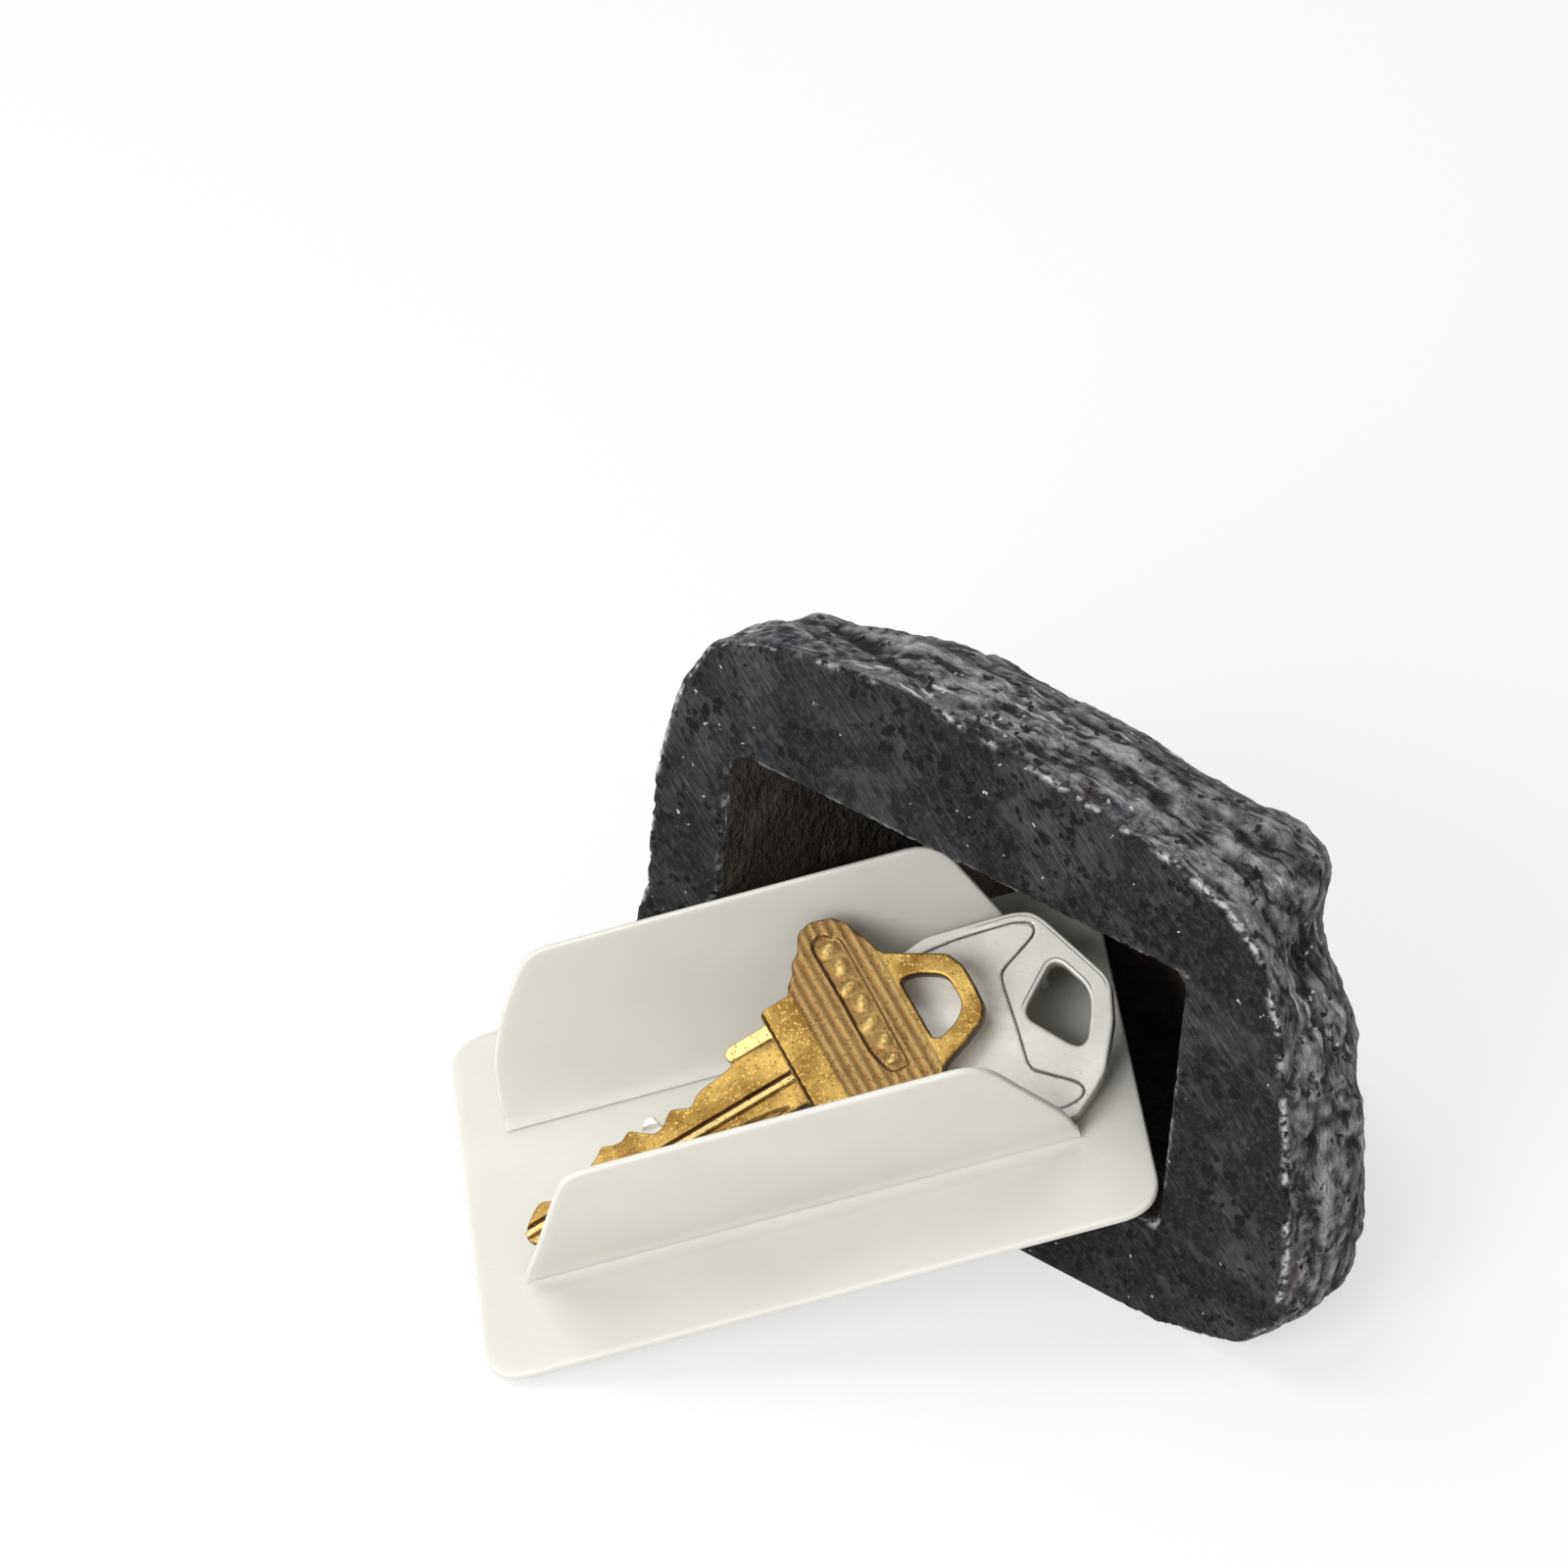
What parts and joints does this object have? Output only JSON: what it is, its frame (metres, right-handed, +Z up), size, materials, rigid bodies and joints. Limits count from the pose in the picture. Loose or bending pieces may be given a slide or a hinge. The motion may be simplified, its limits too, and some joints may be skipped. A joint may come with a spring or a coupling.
{
  "type": "hide a key rock",
  "caption": "Fake stone with a pocket in its flat base, lying on its side; a moulded plastic tray with two folding wings leans in the pocket and holds two door keys.",
  "frame": {"origin": "middle of the whole object's footprint on the floor, at the rock's resting facet", "axes": "+Z up, +Y from the rock's flat base towards its crown, +X along the rock, with the open base facing -Y"},
  "size_m": [0.104, 0.0964, 0.0678],
  "materials": {
    "cast_stone": "matt, mottled cast resin stone with a ground base",
    "milky_plastic": "satin translucent white",
    "nickel_silver": "satin",
    "key_brass": "worn satin"
  },
  "bodies": {
    "rock": {"rock_body": "cast_stone"},
    "insert": {"cover_plate": "milky_plastic"},
    "far_wing": {"far_wing": "milky_plastic"},
    "near_wing": {"near_wing": "milky_plastic"},
    "silver_key": {"silver_key": "nickel_silver"},
    "brass_key": {"brass_key": "key_brass"}
  },
  "joints": [
    {"name": "insert_draw", "type": "slide", "parent": "rock", "child": "insert", "axis": [0, -0.9969, 0.0785], "range_m": [0, 0.06]},
    {"name": "far_wing_fold", "type": "hinge", "parent": "insert", "child": "far_wing", "pos_m": [-0.01754, 0.00027, 0.01369], "axis": [-0.7076, -0.6585, -0.2563], "range_deg": [0, 5], "stiffness_Nm_per_rad": 0.05},
    {"name": "near_wing_fold", "type": "hinge", "parent": "insert", "child": "near_wing", "pos_m": [-0.00152, -0.01628, 0.01195], "axis": [0.7076, 0.6585, 0.2563], "range_deg": [0, 35], "stiffness_Nm_per_rad": 0.05},
    {"name": "silver_key_lift", "type": "slide", "parent": "insert", "child": "silver_key", "axis": [-0.4922, -0.7231, 0.4847], "range_m": [0, 0.06]},
    {"name": "brass_key_lift", "type": "slide", "parent": "silver_key", "child": "brass_key", "axis": [-0.4922, -0.7231, 0.4847], "range_m": [0, 0.06]}
  ]
}
